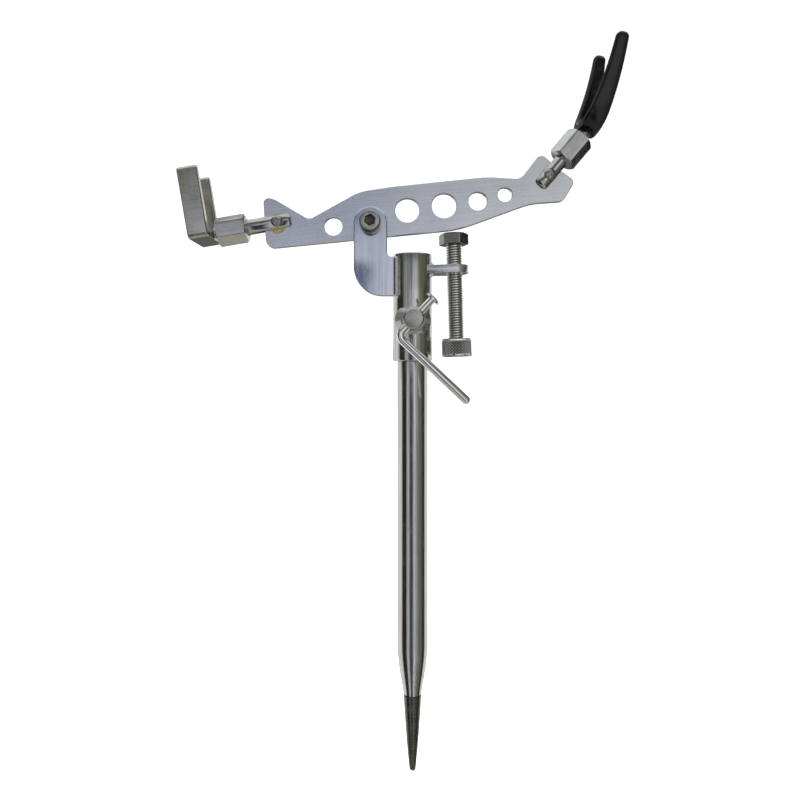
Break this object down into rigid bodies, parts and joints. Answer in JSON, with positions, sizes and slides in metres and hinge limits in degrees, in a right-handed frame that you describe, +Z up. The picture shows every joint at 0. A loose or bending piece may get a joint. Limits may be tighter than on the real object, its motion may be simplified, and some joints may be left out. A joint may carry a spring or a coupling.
{
  "type": "rod holder",
  "caption": "Stainless bank stick rod holder: pointed ground spike, clamped swivel head with a screw-set tilting plate, U-shaped rear hook and black coated front fork.",
  "frame": {"origin": "on the spike's axis where its round shank starts to taper, the lower end of the ground_spike mount", "axes": "+Z up along the spike away from its point, +X towards the fork, +Y to the back, with the pivot ear and the clamp screw at the front on -Y"},
  "size_m": [0.2164, 0.0385, 0.3613],
  "materials": {
    "polished_steel": "mirror-polished stainless steel with drawn streaks",
    "dark_steel": "dark satin ground point",
    "plate_steel": "fine brushed stainless sheet",
    "satin_steel": "satin stainless steel",
    "screw_steel": "turned stainless fastener",
    "weld": "weld bead",
    "brass": "satin brass",
    "nylon": "nylon lock ring",
    "black_coat": "glossy black dipped plastic"
  },
  "bodies": {
    "spike": {"spike_tube": "polished_steel", "spike_tip": "dark_steel"},
    "head": {"clamp_sleeve": "polished_steel", "pivot_ear": "plate_steel", "screw_lug": "satin_steel", "clamp_boss": "satin_steel", "weld_beads": "weld", "pivot_screw": "screw_steel", "pivot_washers": "screw_steel", "pivot_spacer": "nylon", "pivot_lock_nut": "screw_steel", "nut_insert": "nylon"},
    "adjuster": {"adjusting_bolt": "screw_steel"},
    "knob": {"knurled_knob": "screw_steel"},
    "plate": {"swing_plate": "plate_steel", "rear_pivot_discs": "brass", "front_pivot_discs": "brass"},
    "rear_arm": {"rear_shaft": "polished_steel", "rear_screw": "screw_steel", "rear_screw_nut": "screw_steel", "rear_coupling": "satin_steel"},
    "hook": {"rear_stud": "screw_steel", "rear_hook": "satin_steel"},
    "front_arm": {"front_shaft": "polished_steel", "front_screw": "screw_steel", "front_screw_nut": "screw_steel", "front_coupling": "satin_steel"},
    "fork": {"front_stud": "screw_steel", "fork_core": "satin_steel", "fork_coating": "black_coat"},
    "clamp_screw": {"clamp_screw": "screw_steel"},
    "clamp_bar": {"clamp_bar": "polished_steel"}
  },
  "joints": [
    {"name": "head_swivel", "type": "hinge", "parent": "spike", "child": "head", "pos_m": [0, 0, 0.168], "axis": [0, 0, 1], "continuous": true},
    {"name": "adjust_travel", "type": "slide", "parent": "head", "child": "adjuster", "axis": [-0.0279, 0, 0.9996], "range_m": [-0.0061, 0.0121]},
    {"name": "knob_turn", "type": "hinge", "parent": "adjuster", "child": "knob", "pos_m": [0.021, 0, 0.1875], "axis": [-0.0279, 0, 0.9996], "range_deg": [-1728, 3456]},
    {"name": "plate_tilt", "type": "hinge", "parent": "head", "child": "plate", "pos_m": [-0.0208, 0, 0.2096], "axis": [0, -1, 0], "range_deg": [-9.5, 19]},
    {"name": "rear_pivot", "type": "hinge", "parent": "plate", "child": "rear_arm", "pos_m": [-0.0673, 0, 0.2112], "axis": [0, -1, 0], "range_deg": [-135, 95]},
    {"name": "hook_swivel", "type": "hinge", "parent": "rear_arm", "child": "hook", "pos_m": [-0.0673, 0, 0.2112], "axis": [-0.9857, 0, -0.1685], "range_deg": [-180, 180]},
    {"name": "front_pivot", "type": "hinge", "parent": "plate", "child": "front_arm", "pos_m": [0.0678, 0, 0.2345], "axis": [0, -1, 0], "range_deg": [-24, 36]},
    {"name": "fork_swivel", "type": "hinge", "parent": "front_arm", "child": "fork", "pos_m": [0.0678, 0, 0.2345], "axis": [0.6468, 0, 0.7627], "range_deg": [-180, 180]},
    {"name": "clamp_turn", "type": "hinge", "parent": "head", "child": "clamp_screw", "pos_m": [0, -0.02, 0.1618], "axis": [0, -1, 0], "range_deg": [0, 360]},
    {"name": "bar_slide", "type": "slide", "parent": "clamp_screw", "child": "clamp_bar", "axis": [-0.682, 0, -0.7314], "range_m": [-0.002, 0.007]}
  ],
  "couplings": [
    {"joint": "adjust_travel", "follows": "knob_turn", "m_per_rad": 0.00019894},
    {"joint": "plate_tilt", "follows": "knob_turn", "ratio": 0.0054113}
  ]
}
